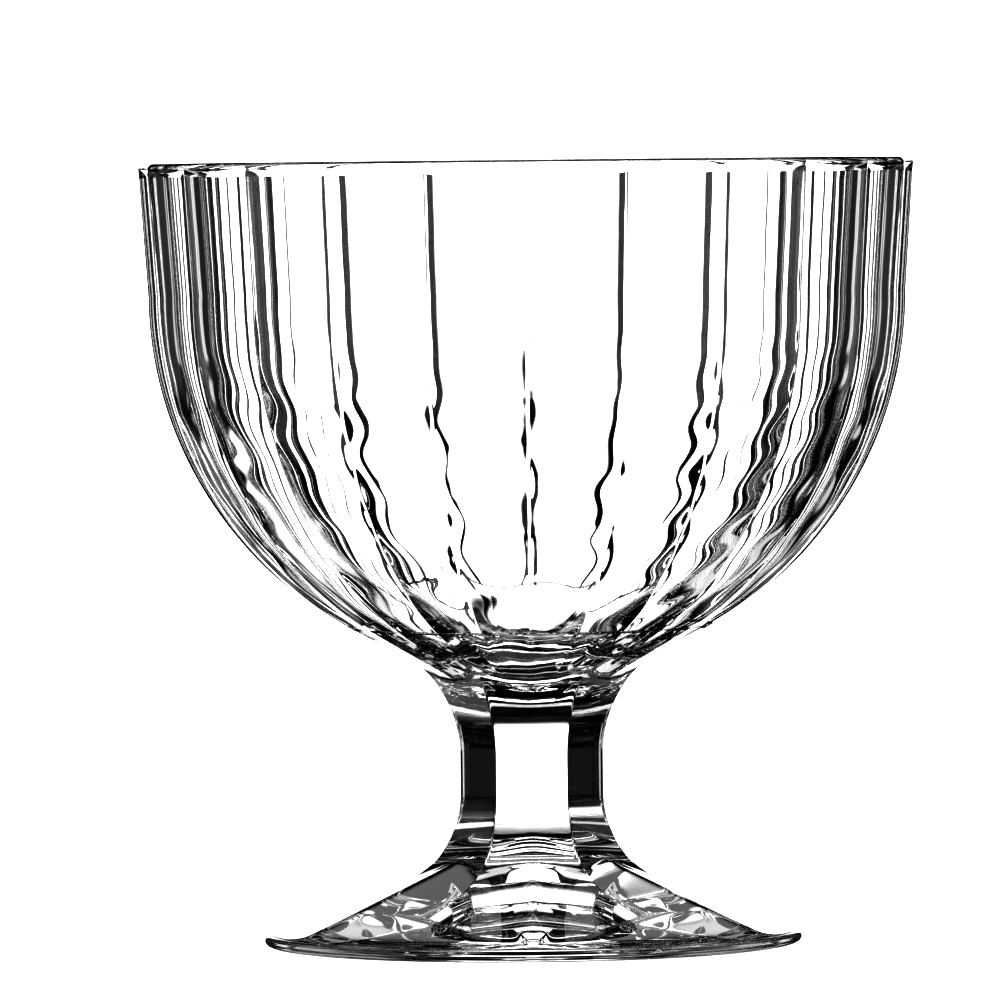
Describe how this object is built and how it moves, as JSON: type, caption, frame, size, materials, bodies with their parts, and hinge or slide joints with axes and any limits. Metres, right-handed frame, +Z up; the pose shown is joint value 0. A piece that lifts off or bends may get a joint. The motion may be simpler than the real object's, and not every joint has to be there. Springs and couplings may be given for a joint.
{
  "type": "footed dessert glass",
  "caption": "Clear pressed glass coupe for ice cream and parfaits, with a deep fluted bowl, a short six-sided stem and a round foot.",
  "frame": {"origin": "centre of the resting plane under the foot, on the axis of the glass", "axes": "+Z up along the axis of the glass, -Y towards the viewer of the picture, with a ridge of the bowl and a flat face of the stem at the front"},
  "size_m": [0.103, 0.103, 0.1041],
  "materials": {
    "bowl_glass": "polished",
    "stem_glass": "polished",
    "foot_glass": "polished"
  },
  "bodies": {
    "root": {"bowl": "bowl_glass", "stem": "stem_glass", "foot": "foot_glass"}
  },
  "joints": []
}
